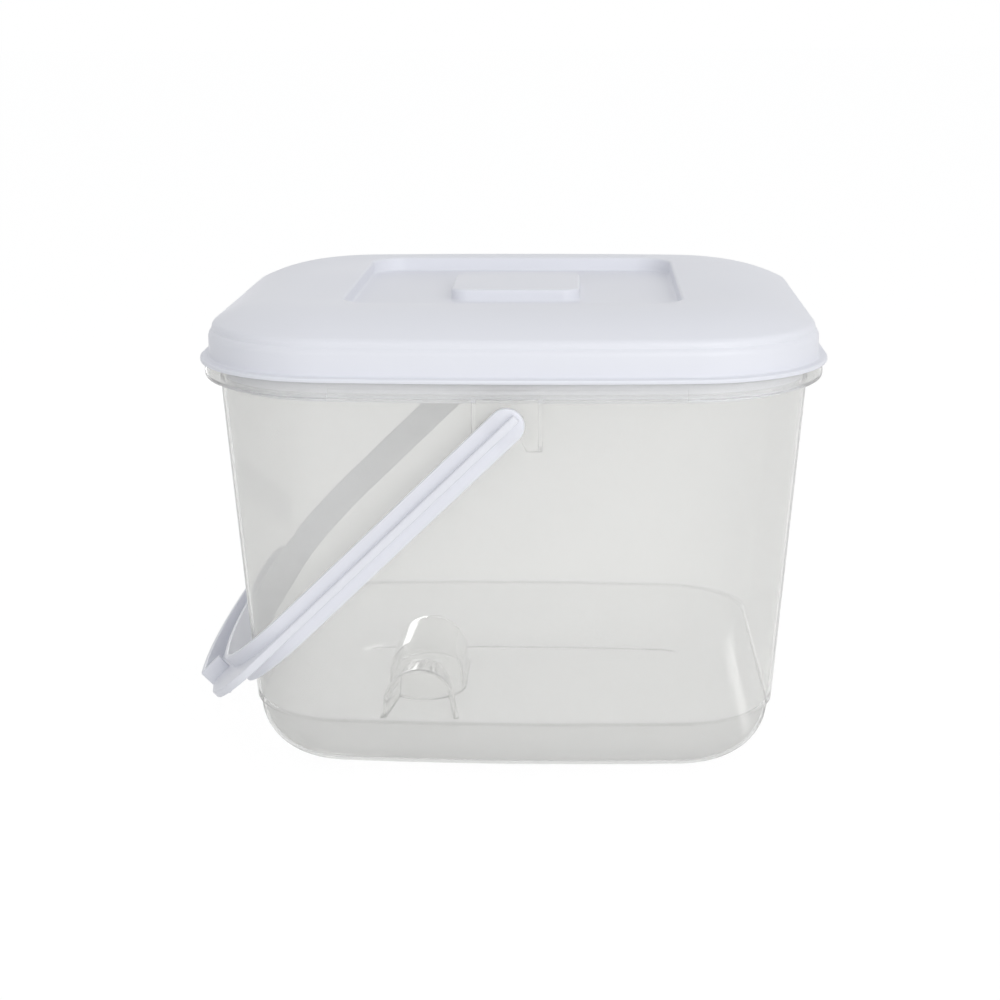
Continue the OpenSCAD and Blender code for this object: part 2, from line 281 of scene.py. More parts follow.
class MeshMaker:
    """Gathers the shapes of one piece and makes one closed object of them."""

    def __init__(self, name: str) -> None:
        """Starts an empty piece.

        Args:
            name: Final name of the piece.
        """
        self.name = name
        self.work = bmesh.new()
        self.parts: list[bpy.types.Mesh] = []

    def loft(self, rings: list[list[Vector]], start: Cap, end: Cap) -> None:
        """Joins rings of equal length with quads, as part of the piece's body.

        Args:
            rings: Rings of points in millimetres.
            start: How the first ring is closed.
            end: How the last ring is closed.
        """
        self._loft(self.work, rings, start, end)

    def fill(self, ring: list[Vector]) -> None:
        """Closes a ring of points in metres with one flat face of the body."""
        self.work.faces.new([self.work.verts.new(p) for p in ring])

    def take_mesh(self, mesh: bpy.types.Mesh, place: Matrix | None = None) -> None:
        """Adds a finished mesh to the body and removes it.

        Args:
            mesh: The mesh, in metres.
            place: Where it goes, in metres, or None for a mesh that is in place.
        """
        if place is not None:
            mesh.transform(place)
        self.work.from_mesh(mesh)
        bpy.data.meshes.remove(mesh)

    def unite(self, mesh: bpy.types.Mesh) -> None:
        """Melts a closed mesh into the body and removes it.

        Args:
            mesh: The mesh, in metres and in place.
        """
        part = bmesh.new()
        part.from_mesh(mesh)
        bpy.data.meshes.remove(mesh)
        self._keep(part)

    def plate(self, outline: list[Point], thickness: float, edge: float, place: Matrix) -> None:
        """Melts a flat plate with rounded edges into the body.

        Args:
            outline: Outline of the plate in its own plane, in millimetres.
            thickness: Thickness of the plate, centred on the plane.
            edge: Radius of the rounded edges.
            place: Where the plate goes, in millimetres.
        """
        sheet = bmesh.new()
        base = sheet.faces.new([sheet.verts.new((x, y, -thickness / 2)) for x, y in outline])
        grown = bmesh.ops.extrude_face_region(sheet, geom=[base])["geom"]
        raised = [v for v in grown if isinstance(v, bmesh.types.BMVert)]
        bmesh.ops.translate(sheet, verts=raised, vec=(0, 0, thickness))
        bmesh.ops.recalc_face_normals(sheet, faces=sheet.faces)
        self._bevel(sheet, PLATE_SHARP_ANGLE, edge, segments=3)
        sheet.transform(Matrix.Scale(MM, 4) @ place)
        self._keep(sheet)

    def turned(self, profile: list[Point], place: Matrix, steps: int = 48) -> None:
        """Melts a profile of radius and height, turned about its own Z axis, into the body.

        Args:
            profile: Points from the bottom to the top.
            place: Where the turned shape goes, in millimetres.
            steps: Segments round the axis.
        """
        rings = []
        for radius, height in profile:
            ring = []
            for k in range(steps):
                a = 2 * math.pi * k / steps
                ring.append(place @ Vector((radius * math.cos(a), radius * math.sin(a), height)))
            rings.append(ring)
        part = bmesh.new()
        self._loft(part, rings, Cap.FILLED, Cap.FILLED)
        self._keep(part)

    def soften(self, edge: float) -> None:
        """Rounds the body's sharp edges.

        Args:
            edge: Radius of the rounding, in metres.
        """
        body = self.work
        bmesh.ops.remove_doubles(body, verts=body.verts, dist=PART_WELD)
        bmesh.ops.dissolve_limit(body, angle_limit=FLAT_ANGLE, verts=body.verts, edges=body.edges)
        self._bevel(body, SHARP_ANGLE, edge, segments=2)

    def lift(self, height: float) -> None:
        """Moves the body up by a height in metres."""
        bmesh.ops.translate(self.work, vec=(0, 0, height), verts=self.work.verts)

    def finish(self, material: bpy.types.Material) -> bpy.types.Object:
        """Welds the piece, melts its parts together and links it.

        Args:
            material: Material of the whole piece.

        Returns:
            The finished object, at the origin.
        """
        bmesh.ops.remove_doubles(self.work, verts=self.work.verts, dist=SEAM_WELD)
        bmesh.ops.recalc_face_normals(self.work, faces=self.work.faces)
        mesh = bpy.data.meshes.new(self.name)
        self.work.to_mesh(mesh)
        self.work.free()
        if self.parts:
            mesh = self._melted(mesh)
            mesh.name = self.name
        mesh.materials.clear()
        mesh.materials.append(material)
        mesh.polygons.foreach_set("material_index", [0] * len(mesh.polygons))
        mesh.polygons.foreach_set("use_smooth", [True] * len(mesh.polygons))
        mesh.set_sharp_from_angle(angle=SHARP_ANGLE)
        made = bpy.data.objects.new(self.name, mesh)
        bpy.context.scene.collection.objects.link(made)
        return made

    def _melted(self, body: bpy.types.Mesh) -> bpy.types.Mesh:
        """Joins the parts to the body without walls inside.

        Args:
            body: The piece's body.

        Returns:
            A plain mesh of body and parts.
        """
        link = bpy.context.scene.collection.objects.link
        whole = bpy.data.objects.new("body", body)
        others = [bpy.data.objects.new("part", part) for part in self.parts]
        for thing in (whole, *others):
            link(thing)
        for other in others:
            step = whole.modifiers.new("melt", "BOOLEAN")
            step.operation, step.solver, step.object = "UNION", "MANIFOLD", other
        graph = bpy.context.evaluated_depsgraph_get()
        made = bpy.data.meshes.new_from_object(whole.evaluated_get(graph))
        for thing in (whole, *others):
            old = thing.data
            bpy.data.objects.remove(thing)
            bpy.data.meshes.remove(old)
        return made

    def _keep(self, part: bmesh.types.BMesh) -> None:
        """Stores a closed shape that is to be melted in, faces outward.

        Args:
            part: The shape, in metres, which is freed.
        """
        bmesh.ops.remove_doubles(part, verts=part.verts, dist=PART_WELD)
        bmesh.ops.recalc_face_normals(part, faces=part.faces)
        mesh = bpy.data.meshes.new("part")
        part.to_mesh(mesh)
        part.free()
        self.parts.append(mesh)

    @staticmethod
    def _bevel(work: bmesh.types.BMesh, angle: float, edge: float, segments: int) -> None:
        """Rounds the sharp edges of a work mesh.

        Args:
            work: The work mesh.
            angle: Turn between two faces past which their edge is sharp, in radians.
            edge: Radius of the rounding, in the mesh's own unit.
            segments: Steps of the rounding.
        """
        sharp = [e for e in work.edges if e.calc_face_angle(0.0) > angle]
        bmesh.ops.bevel(
            work,
            geom=sharp,
            offset=edge,
            segments=segments,
            profile=0.5,
            affect="EDGES",
            clamp_overlap=True,
        )

    @staticmethod
    def _loft(work: bmesh.types.BMesh, rings: list[list[Vector]], start: Cap, end: Cap) -> None:
        """Joins rings of equal length with quads.

        Args:
            work: The work mesh that takes the quads, in metres.
            rings: Rings of points in millimetres.
            start: How the first ring is closed.
            end: How the last ring is closed.
        """
        loops = [[work.verts.new(Vector(p) * MM) for p in ring] for ring in rings]
        count = len(loops[0])
        for low, high in zip(loops, loops[1:]):
            for i in range(count):
                j = (i + 1) % count
                work.faces.new((low[i], low[j], high[j], high[i]))
        if start is Cap.FILLED:
            work.faces.new(loops[0][::-1])
        if end is Cap.FILLED:
            work.faces.new(loops[-1])


class SectionSweep:
    """Carries a section along a path with a Geometry Nodes tree built once."""

    def __init__(self) -> None:
        """Builds the tree."""
        self.tree = bpy.data.node_groups.new("section_along_path", "GeometryNodeTree")
        self._input("Path", "NodeSocketGeometry")
        self.section_id = self._input("Section", "NodeSocketObject")
        self.capped_id = self._input("Capped", "NodeSocketBool")
        self.material_id = self._input("Material", "NodeSocketMaterial")
        self.tree.interface.new_socket("Piece", in_out="OUTPUT", socket_type="NodeSocketGeometry")
        node = self.tree.nodes.new
        given, made = node("NodeGroupInput"), node("NodeGroupOutput")
        upright = node("GeometryNodeSetCurveNormal")
        upright.mode = "Z_UP"
        section = node("GeometryNodeObjectInfo")
        section.transform_space = "ORIGINAL"
        sweep = node("GeometryNodeCurveToMesh")
        smooth = node("GeometryNodeSetShadeSmooth")
        realize = node("GeometryNodeRealizeInstances")
        coat = node("GeometryNodeSetMaterial")
        link = self.tree.links.new
        link(given.outputs["Path"], upright.inputs["Curve"])
        link(given.outputs["Section"], section.inputs["Object"])
        link(upright.outputs["Curve"], sweep.inputs["Curve"])
        link(section.outputs["Geometry"], sweep.inputs["Profile Curve"])
        link(given.outputs["Capped"], sweep.inputs["Fill Caps"])
        link(sweep.outputs["Mesh"], smooth.inputs["Geometry"])
        link(smooth.outputs["Geometry"], realize.inputs["Geometry"])
        link(realize.outputs["Geometry"], coat.inputs["Geometry"])
        link(given.outputs["Material"], coat.inputs["Material"])
        link(coat.outputs["Geometry"], made.inputs["Piece"])

    def mesh(
        self,
        path: list[Point],
        path_closed: bool,
        section: list[Point],
        section_closed: bool,
        material: bpy.types.Material,
    ) -> bpy.types.Mesh:
        """Sweeps a section along a flat path.

        Args:
            path: Points of the path in its plane, in millimetres.
            path_closed: Whether the path is a loop.
            section: Points of the section as outward offset and height.
            section_closed: Whether the section is a loop.
            material: Material of the swept mesh.

        Returns:
            A plain mesh in metres, its points in path order, then section order.
        """
        rail = self._line("rail", path, path_closed)
        rib = self._line("rib", [(x, -y) for x, y in section], section_closed)
        sweep = rail.modifiers.new("sweep", "NODES")
        sweep.node_group = self.tree
        sweep[self.section_id] = rib
        sweep[self.capped_id] = section_closed and not path_closed
        sweep[self.material_id] = material
        graph = bpy.context.evaluated_depsgraph_get()
        made = bpy.data.meshes.new_from_object(rail.evaluated_get(graph))
        rail.modifiers.remove(sweep)
        for line in (rail, rib):
            curve = line.data
            bpy.data.objects.remove(line)
            bpy.data.curves.remove(curve)
        return made

    def _input(self, name: str, kind: str) -> str:
        """Adds a named input of a kind to the tree and returns its identifier."""
        return self.tree.interface.new_socket(name, in_out="INPUT", socket_type=kind).identifier

    @staticmethod
    def _line(name: str, points: list[Point], closed: bool) -> bpy.types.Object:
        """Makes a plain curve object.

        Args:
            name: Name of the curve.
            points: Points in millimetres.
            closed: Whether the last point joins the first.

        Returns:
            The linked curve, in metres.
        """
        curve = bpy.data.curves.new(name, "CURVE")
        curve.dimensions = "3D"
        spline = curve.splines.new("POLY")
        spline.points.add(len(points) - 1)
        for slot, (x, y) in zip(spline.points, points):
            slot.co = (x * MM, y * MM, 0, 1)
        spline.use_cyclic_u = closed
        line = bpy.data.objects.new(name, curve)
        bpy.context.scene.collection.objects.link(line)
        return line


class SurfaceGroups:
    """Shader node groups that the finishes share."""

    def __init__(self) -> None:
        """Builds the groups."""
        self.moulding = self._moulding()
        self.drift = self._drift()
        # Painted shade: darkens the colour at the foot and along the step line.
        self.depth = self._painted_foot_shade_group()

    @staticmethod
    def _moulding() -> bpy.types.NodeTree:
        """Builds the moulded skin: a roughness that varies in clouds and a fine ripple height.

        Returns:
            The node group.
        """
        tree = bpy.data.node_groups.new("moulded_skin", "ShaderNodeTree")
        face = tree.interface
        for name, value in (("Cloud Scale", 18.0), ("Grain Scale", 900.0), ("Low", 0.3), ("High", 0.4)):
            face.new_socket(name, in_out="INPUT", socket_type="NodeSocketFloat").default_value = value
        face.new_socket("Roughness", in_out="OUTPUT", socket_type="NodeSocketFloat")
        face.new_socket("Height", in_out="OUTPUT", socket_type="NodeSocketFloat")
        node, link = tree.nodes.new, tree.links.new
        given, made = node("NodeGroupInput"), node("NodeGroupOutput")
        place = node("ShaderNodeTexCoord")
        cloud, grain = node("ShaderNodeTexNoise"), node("ShaderNodeTexNoise")
        cloud.inputs["Detail"].default_value = 3
        grain.inputs["Detail"].default_value = 2
        spread = node("ShaderNodeMapRange")
        spread.inputs["From Min"].default_value = 0.3
        spread.inputs["From Max"].default_value = 0.7
        link(place.outputs["Object"], cloud.inputs["Vector"])
        link(place.outputs["Object"], grain.inputs["Vector"])
        link(given.outputs["Cloud Scale"], cloud.inputs["Scale"])
        link(given.outputs["Grain Scale"], grain.inputs["Scale"])
        link(cloud.outputs["Fac"], spread.inputs["Value"])
        link(given.outputs["Low"], spread.inputs["To Min"])
        link(given.outputs["High"], spread.inputs["To Max"])
        link(spread.outputs["Result"], made.inputs["Roughness"])
        link(grain.outputs["Fac"], made.inputs["Height"])
        return tree

    @staticmethod
    def _drift() -> bpy.types.NodeTree:
        """Builds the colour drift: a base colour that leans to a second one in soft clouds.

        Returns:
            The node group.
        """
        tree = bpy.data.node_groups.new("colour_drift", "ShaderNodeTree")
        face = tree.interface
        face.new_socket("Colour", in_out="INPUT", socket_type="NodeSocketColor")
        face.new_socket("Lean", in_out="INPUT", socket_type="NodeSocketColor")
        face.new_socket("Scale", in_out="INPUT", socket_type="NodeSocketFloat").default_value = 9.0
        face.new_socket("Colour", in_out="OUTPUT", socket_type="NodeSocketColor")
        node, link = tree.nodes.new, tree.links.new
        given, made = node("NodeGroupInput"), node("NodeGroupOutput")
        place, cloud, mix = node("ShaderNodeTexCoord"), node("ShaderNodeTexNoise"), node("ShaderNodeMix")
        cloud.inputs["Detail"].default_value = 2
        mix.data_type = "RGBA"
        link(place.outputs["Object"], cloud.inputs["Vector"])
        link(given.outputs["Scale"], cloud.inputs["Scale"])
        # By number, because the Mix node's sockets for colours share their names with those for values.
        link(cloud.outputs["Fac"], mix.inputs[0])
        link(given.outputs["Colour"], mix.inputs[6])
        link(given.outputs["Lean"], mix.inputs[7])
        link(mix.outputs[2], made.inputs["Colour"])
        return tree

    @staticmethod
    def _painted_foot_shade_group() -> bpy.types.NodeTree:
        """Builds painted shade: the colour darkened at a piece's foot, below the step, and along the line
        where it steps in, standing in for the darker look of light through the thick, curved plastic
        there.

        Returns:
            The node group.
        """
        tree = bpy.data.node_groups.new("painted_foot_shade", "ShaderNodeTree")
        face = tree.interface
        face.new_socket("Colour", in_out="INPUT", socket_type="NodeSocketColor")
        for name, value in (("Step Height", 0.03), ("Step Width", 0.0012), ("Foot", 0.9), ("Line", 0.8)):
            face.new_socket(name, in_out="INPUT", socket_type="NodeSocketFloat").default_value = value
        face.new_socket("Colour", in_out="OUTPUT", socket_type="NodeSocketColor")
        node, link = tree.nodes.new, tree.links.new
        given, made = node("NodeGroupInput"), node("NodeGroupOutput")
        place, split = node("ShaderNodeTexCoord"), node("ShaderNodeSeparateXYZ")
        link(place.outputs["Object"], split.inputs[0])

        def maths(
            operation: str, first: bpy.types.NodeSocket, second: bpy.types.NodeSocket
        ) -> bpy.types.NodeSocket:
            """Adds one calculation.

            Args:
                operation: Name of the calculation.
                first: Socket of its first number.
                second: Socket of its second number.

            Returns:
                The socket of its result.
            """
            step = node("ShaderNodeMath")
            step.operation = operation
            link(first, step.inputs[0])
            link(second, step.inputs[1])
            return step.outputs[0]

        # Painted shade: the colour is darker below the step height and darkest in a thin line along the
        # step.
        rise = maths("SUBTRACT", split.outputs["Z"], given.outputs["Step Height"])
        share = maths("DIVIDE", rise, given.outputs["Step Width"])
        foot, line = node("ShaderNodeMapRange"), node("ShaderNodeMapRange")
        foot.interpolation_type = line.interpolation_type = "SMOOTHSTEP"
        size = node("ShaderNodeMath")
        size.operation = "ABSOLUTE"
        link(share, size.inputs[0])
        link(share, foot.inputs["Value"])
        link(size.outputs[0], line.inputs["Value"])
        foot.inputs["From Min"].default_value = -1.0
        link(given.outputs["Foot"], foot.inputs["To Min"])
        link(given.outputs["Line"], line.inputs["To Min"])
        painted_shade_share = maths("MULTIPLY", foot.outputs["Result"], line.outputs["Result"])
        scale = node("ShaderNodeVectorMath")
        scale.operation = "SCALE"
        link(given.outputs["Colour"], scale.inputs[0])
        link(painted_shade_share, scale.inputs["Scale"])
        link(scale.outputs[0], made.inputs[0])
        return tree


@dataclass(frozen=True)
class Finish:
    """A moulded plastic: its colour, how it drifts, and the skin of the moulding.

    Attributes:
        name: Name of the material.
        colour: Base colour.
        lean: Colour that the base leans to in soft clouds.
        rough: Lowest and highest roughness.
        grain: Strength of the skin's ripple.
        grain_scale: Fineness of the ripple.
        ior: Index of refraction.
        clear: Share of the light that is let through.
        coat: Weight of the glossy coat.
        foot: Share of the colour left below the step line: painted shade for the darker look of the thick
            foot.
        line: Share of the colour left on the step line itself: a painted dark line.
        ripple: Height of the ripple in metres.
    """

    name: str
    colour: Triple
    lean: Triple
    rough: Point
    grain: float
    grain_scale: float
    ior: float
    clear: float = 0.0
    coat: float = 0.0
    foot: float = 1.0
    line: float = 1.0
    ripple: float = 0.0004

    def material(self, groups: SurfaceGroups) -> bpy.types.Material:
        """Builds the material.

        Args:
            groups: Shared shader node groups.

        Returns:
            The finished material.
        """
        made = bpy.data.materials.new(self.name)
        made.use_nodes = True
        tree = made.node_tree
        tree.nodes.clear()
        node, link = tree.nodes.new, tree.links.new
        out, body = node("ShaderNodeOutputMaterial"), node("ShaderNodeBsdfPrincipled")
        body.inputs["IOR"].default_value = self.ior
        body.inputs["Coat Weight"].default_value = self.coat
        body.inputs["Coat Roughness"].default_value = self.rough[1]
        skin, bump = node("ShaderNodeGroup"), node("ShaderNodeBump")
        skin.node_tree = groups.moulding
        skin.inputs["Low"].default_value, skin.inputs["High"].default_value = self.rough
        skin.inputs["Grain Scale"].default_value = self.grain_scale
        bump.inputs["Strength"].default_value = self.grain
        bump.inputs["Distance"].default_value = self.ripple
        link(self._colour_with_painted_shade(tree, groups), body.inputs["Base Color"])
        link(skin.outputs["Roughness"], body.inputs["Roughness"])
        link(skin.outputs["Height"], bump.inputs["Height"])
        link(bump.outputs["Normal"], body.inputs["Normal"])
        surface = self._see_through(tree, body) if self.clear > 0 else body.outputs["BSDF"]
        link(surface, out.inputs["Surface"])
        return made

    def _colour_with_painted_shade(self, tree: bpy.types.NodeTree, groups: SurfaceGroups) -> bpy.types.NodeSocket:
        """Builds the drifting colour, and for a finish with a foot share below one, paints shade at the
        foot and on the step line.

        Args:
            tree: Tree of the material.
            groups: Shared shader node groups.

        Returns:
            The socket of the colour.
        """
        drift = tree.nodes.new("ShaderNodeGroup")
        drift.node_tree = groups.drift
        drift.inputs["Colour"].default_value = (*self.colour, 1)
        drift.inputs["Lean"].default_value = (*self.lean, 1)
        if self.foot >= 1:
            return drift.outputs["Colour"]
        # Painted shade at the foot and on the step line.
        depth = tree.nodes.new("ShaderNodeGroup")
        depth.node_tree = groups.depth
        depth.inputs["Foot"].default_value, depth.inputs["Line"].default_value = self.foot, self.line
        tree.links.new(drift.outputs["Colour"], depth.inputs["Colour"])
        return depth.outputs["Colour"]

    def _see_through(self, tree: bpy.types.NodeTree, body: bpy.types.ShaderNode) -> bpy.types.NodeSocket:
        """Makes the plastic clear, with its coat on front faces only and without a shadow.

        Args:
            tree: Tree of the material.
            body: Its Principled shader.

        Returns:
            The socket of the clear shader.
        """
        node, link = tree.nodes.new, tree.links.new
        body.inputs["Transmission Weight"].default_value = self.clear
        shape, front = node("ShaderNodeNewGeometry"), node("ShaderNodeMapRange")
        front.inputs["To Min"].default_value, front.inputs["To Max"].default_value = self.coat, 0.0
        link(shape.outputs["Backfacing"], front.inputs["Value"])
        link(front.outputs["Result"], body.inputs["Coat Weight"])
        path, thin = node("ShaderNodeLightPath"), node("ShaderNodeBsdfTransparent")
        mix = node("ShaderNodeMixShader")
        link(path.outputs["Is Shadow Ray"], mix.inputs[0])
        link(body.outputs["BSDF"], mix.inputs[1])
        link(thin.outputs["BSDF"], mix.inputs[2])
        return mix.outputs["Shader"]


CLEAR = Finish(
    name="clear_plastic",
    colour=(0.84, 0.84, 0.83),
    lean=(0.86, 0.86, 0.85),
    rough=(0.06, 0.10),
    grain=0.03,
    grain_scale=160.0,
    ior=1.02,
    clear=0.79,
    coat=0.5,
    # Painted shade: the colour kept at the foot and on the step line, darker where the thick clear plastic
    # looks darker.
    foot=0.93,
    line=0.8,
)
GLOSSY = Finish(
    name="clear_gloss",
    colour=(0.94, 0.94, 0.93),
    lean=(0.96, 0.96, 0.95),
    rough=(0.03, 0.05),
    grain=0.02,
    grain_scale=160.0,
    ior=1.15,
    clear=0.92,
    coat=1.0,
)
WHITE = Finish(
    name="white_plastic",
    colour=(0.80, 0.81, 0.86),
    lean=(0.83, 0.84, 0.89),
    rough=(0.38, 0.46),
    grain=0.06,
    grain_scale=1500.0,
    ior=1.49,
)


@dataclass
class Tub:
    """The clear tub: base, step, bowed walls, stepped rim, bars and brackets, in millimetres."""

    plan: PlanLoop
    sweep: SectionSweep
    wall: float = 1.8
    base_radius: float = 28.0
    step_inset: float = 1.9
    step_height: float = 30.0
    step_slope: float = 0.6
    wall_top: float = 196.3
    wall_spread: float = 12.3
    rim_height: float = 8.4
    rim_reach: float = 7.4
    rim_round: float = 2.6
    bar_height: float = 5.6
    bar_half: float = 82.0
    bar_depth: float = 0.8
    panel_rise: float = 2.0
    panel_edge: Triple = (-49.0, -44.5, -37.0)
    panel_round: float = 16.0
    step_rounds: Point = (0.7, 0.9)
    step_rounds_inside: Point = (1.4, 1.8)
    rim_root: float = 0.8
    pivot_height: float = 186.3
    bracket_half: float = 16.5
    bracket_foot: float = 173.2
    bracket_top: float = 201.9
    bracket_face: float = 142.8
    plate_thickness: float = 2.8
    cheek_thickness: float = 2.0
    seat_radius: float = 4.8
    slot_mouth: float = 9.2
    slot_throat: float = 3.84
    edge: float = 0.4

    def section(self) -> list[Point]:
        """Works out the wall's section from the floor's underside, over the rim, to the floor's top.

        Returns:
            The points as outward offset from the plan and height.
        """
        inset = -self.step_inset - self.base_radius
        rim, top = self.wall_spread + self.rim_reach, self.wall_top + self.rim_height
        base, heart = (inset, self.base_radius), (rim - self.rim_round, self.wall_top + self.rim_round)
        low, mid, out = self.panel_edge
        rise, slope_foot = self.panel_rise, self.step_height - self.step_slope
        below, above = self.step_rounds
        below_inside, above_inside = self.step_rounds_inside
        return rounded(
            [
                Corner(low, rise),
                Corner(mid, rise, self.panel_round),
                Corner(out, 0, self.panel_round),
                *arc(base, self.base_radius, -90, 0, steps=16),
                Corner(-self.step_inset, slope_foot, below),
                Corner(0, self.step_height, above),
                Corner(self.wall_spread, self.wall_top, self.rim_root),
                *arc(heart, self.rim_round, -90, 0, steps=8),
                Corner(rim, top, self.edge),
                Corner(rim - self.wall, top, self.edge),
                *arc(heart, self.rim_round - self.wall, 0, -90, steps=6),
                Corner(self.wall_spread - self.wall, self.wall_top + self.wall, self.rim_root),
                Corner(-self.wall, self.step_height + self.wall, above_inside),
                Corner(-self.step_inset - self.wall, slope_foot, below_inside),
                *arc(base, self.base_radius - self.wall, 0, -90, steps=16),
                Corner(out, self.wall, self.panel_round),
                Corner(mid, rise + self.wall, self.panel_round),
                Corner(low, rise + self.wall),
            ],
            closed=False,
        )

    def bar(self) -> list[Point]:
        """Works out the section of the stiffening bar on the rim's front and back.

        Returns:
            The points as outward offset from the plan and height.
        """
        inside = self.wall_spread + self.rim_reach - self.wall / 2
        outside = self.wall_spread + self.rim_reach + self.bar_depth
        low, high = self.wall_top, self.wall_top + self.bar_height
        return rounded(
            [
                Corner(inside, low + self.rim_round),
                Corner(outside - 2 * self.bar_depth, low, self.edge),
                Corner(outside, low, self.edge),
                Corner(outside, high, self.edge),
                Corner(inside, high, self.edge),
            ],
            closed=True,
        )

    def build(self, material: bpy.types.Material) -> bpy.types.Object:
        """Builds the tub.

        Args:
            material: Material of the tub.

        Returns:
            The tub, standing for its solid.
        """
        maker = MeshMaker("clear_tub")
        section = self.section()
        shell = self.sweep.mesh(self.plan.points(), True, section, False, material)
        for j in (0, len(section) - 1):
            maker.fill(ring_of(shell, len(section), j))
        maker.take_mesh(shell)
        bar = self.bar()
        for face in Face:
            rail = self.plan.bow(self.bar_half, face)
            maker.unite(self.sweep.mesh(rail, False, bar, True, material))
            self._bracket(maker, face)
        made = maker.finish(material)
        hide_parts("tub")
        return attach(made, "tub")

    def _bracket(self, maker: MeshMaker, face: Face) -> None:
        """Adds a bracket: a plate with a keyhole slot open at the bottom and two cheeks.

        Args:
            maker: Maker of the tub.
            face: Which face of the tub.
        """
        drop = math.sqrt(self.seat_radius**2 - self.slot_throat**2)
        half, foot, top = self.bracket_half, self.bracket_foot, self.bracket_top
        seat = math.degrees(math.asin(-drop / self.seat_radius))
        keyhole = arc((0, self.pivot_height), self.seat_radius, seat, 180 - seat, steps=20)
        outline = [
            (-half, foot),
            (-self.slot_mouth, foot),
            *[(-c.x, c.y) for c in keyhole],
            (self.slot_mouth, foot),
            (half, foot),
            (half, top),
            (-half, top),
        ]
        stand = Matrix.Rotation(math.pi / 2, 4, "X")
        out = face.value
        plate_at = out * (self.bracket_face - self.plate_thickness / 2)
        maker.plate(outline, self.plate_thickness, self.edge, Matrix.Translation((0, plate_at, 0)) @ stand)
        inner = self.plan.depth() - self.wall / 2
        lean = self.wall_spread / (self.wall_top - self.step_height)
        under = self.wall_top + self.wall / 2
        cheek = [
            (plate_at, foot),
            (plate_at, under),
            (out * (inner + self.wall_spread), under),
            (out * (inner + lean * (foot - self.step_height)), foot),
        ]
        turn = Matrix.Rotation(math.pi / 2, 4, "Z") @ stand
        for side in (-1, 1):
            at = side * (half - self.cheek_thickness / 2)
            maker.plate(cheek, self.cheek_thickness, self.edge, Matrix.Translation((at, 0, 0)) @ turn)


